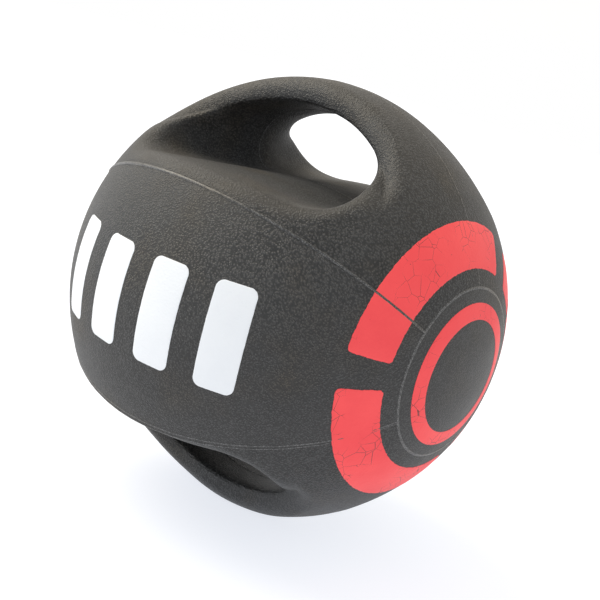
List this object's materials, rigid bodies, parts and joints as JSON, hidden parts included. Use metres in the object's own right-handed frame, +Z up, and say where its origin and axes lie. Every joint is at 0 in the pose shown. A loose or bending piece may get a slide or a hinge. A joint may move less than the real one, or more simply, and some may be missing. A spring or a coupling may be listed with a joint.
{
  "type": "medicine ball",
  "caption": "Hollow moulded rubber medicine ball with an arched grip bar over a finger tunnel at the top and at the bottom.",
  "frame": {"origin": "centre of the ball, halfway between the two grips", "axes": "+X along both grip bars towards the coloured end mark, -Y towards the four printed bars, +Z up through the top grip"},
  "size_m": [0.2298, 0.2301, 0.233],
  "materials": {
    "rubber": "black moulded rubber with a fine raised pebble grain",
    "grip_rubber": "black moulded rubber with a finer, smoother grain",
    "valve_rubber": "smooth soft black rubber",
    "white_ink": "matt white print, slightly worn",
    "red_ink": "matt red print, worn and broken"
  },
  "bodies": {
    "root": {"front_panel": "rubber", "back_panel": "rubber", "right_end_panel": "rubber", "left_end_panel": "rubber", "top_grip_front": "grip_rubber", "top_grip_back": "grip_rubber", "bottom_grip_front": "grip_rubber", "bottom_grip_back": "grip_rubber", "valve_boot": "valve_rubber", "valve_core": "valve_rubber", "weight_mark_1": "white_ink", "weight_mark_2": "white_ink", "weight_mark_3": "white_ink", "weight_mark_4": "white_ink", "end_mark_ring": "red_ink", "end_mark_band_1": "red_ink", "end_mark_band_2": "red_ink", "end_mark_band_3": "red_ink"}
  },
  "joints": []
}
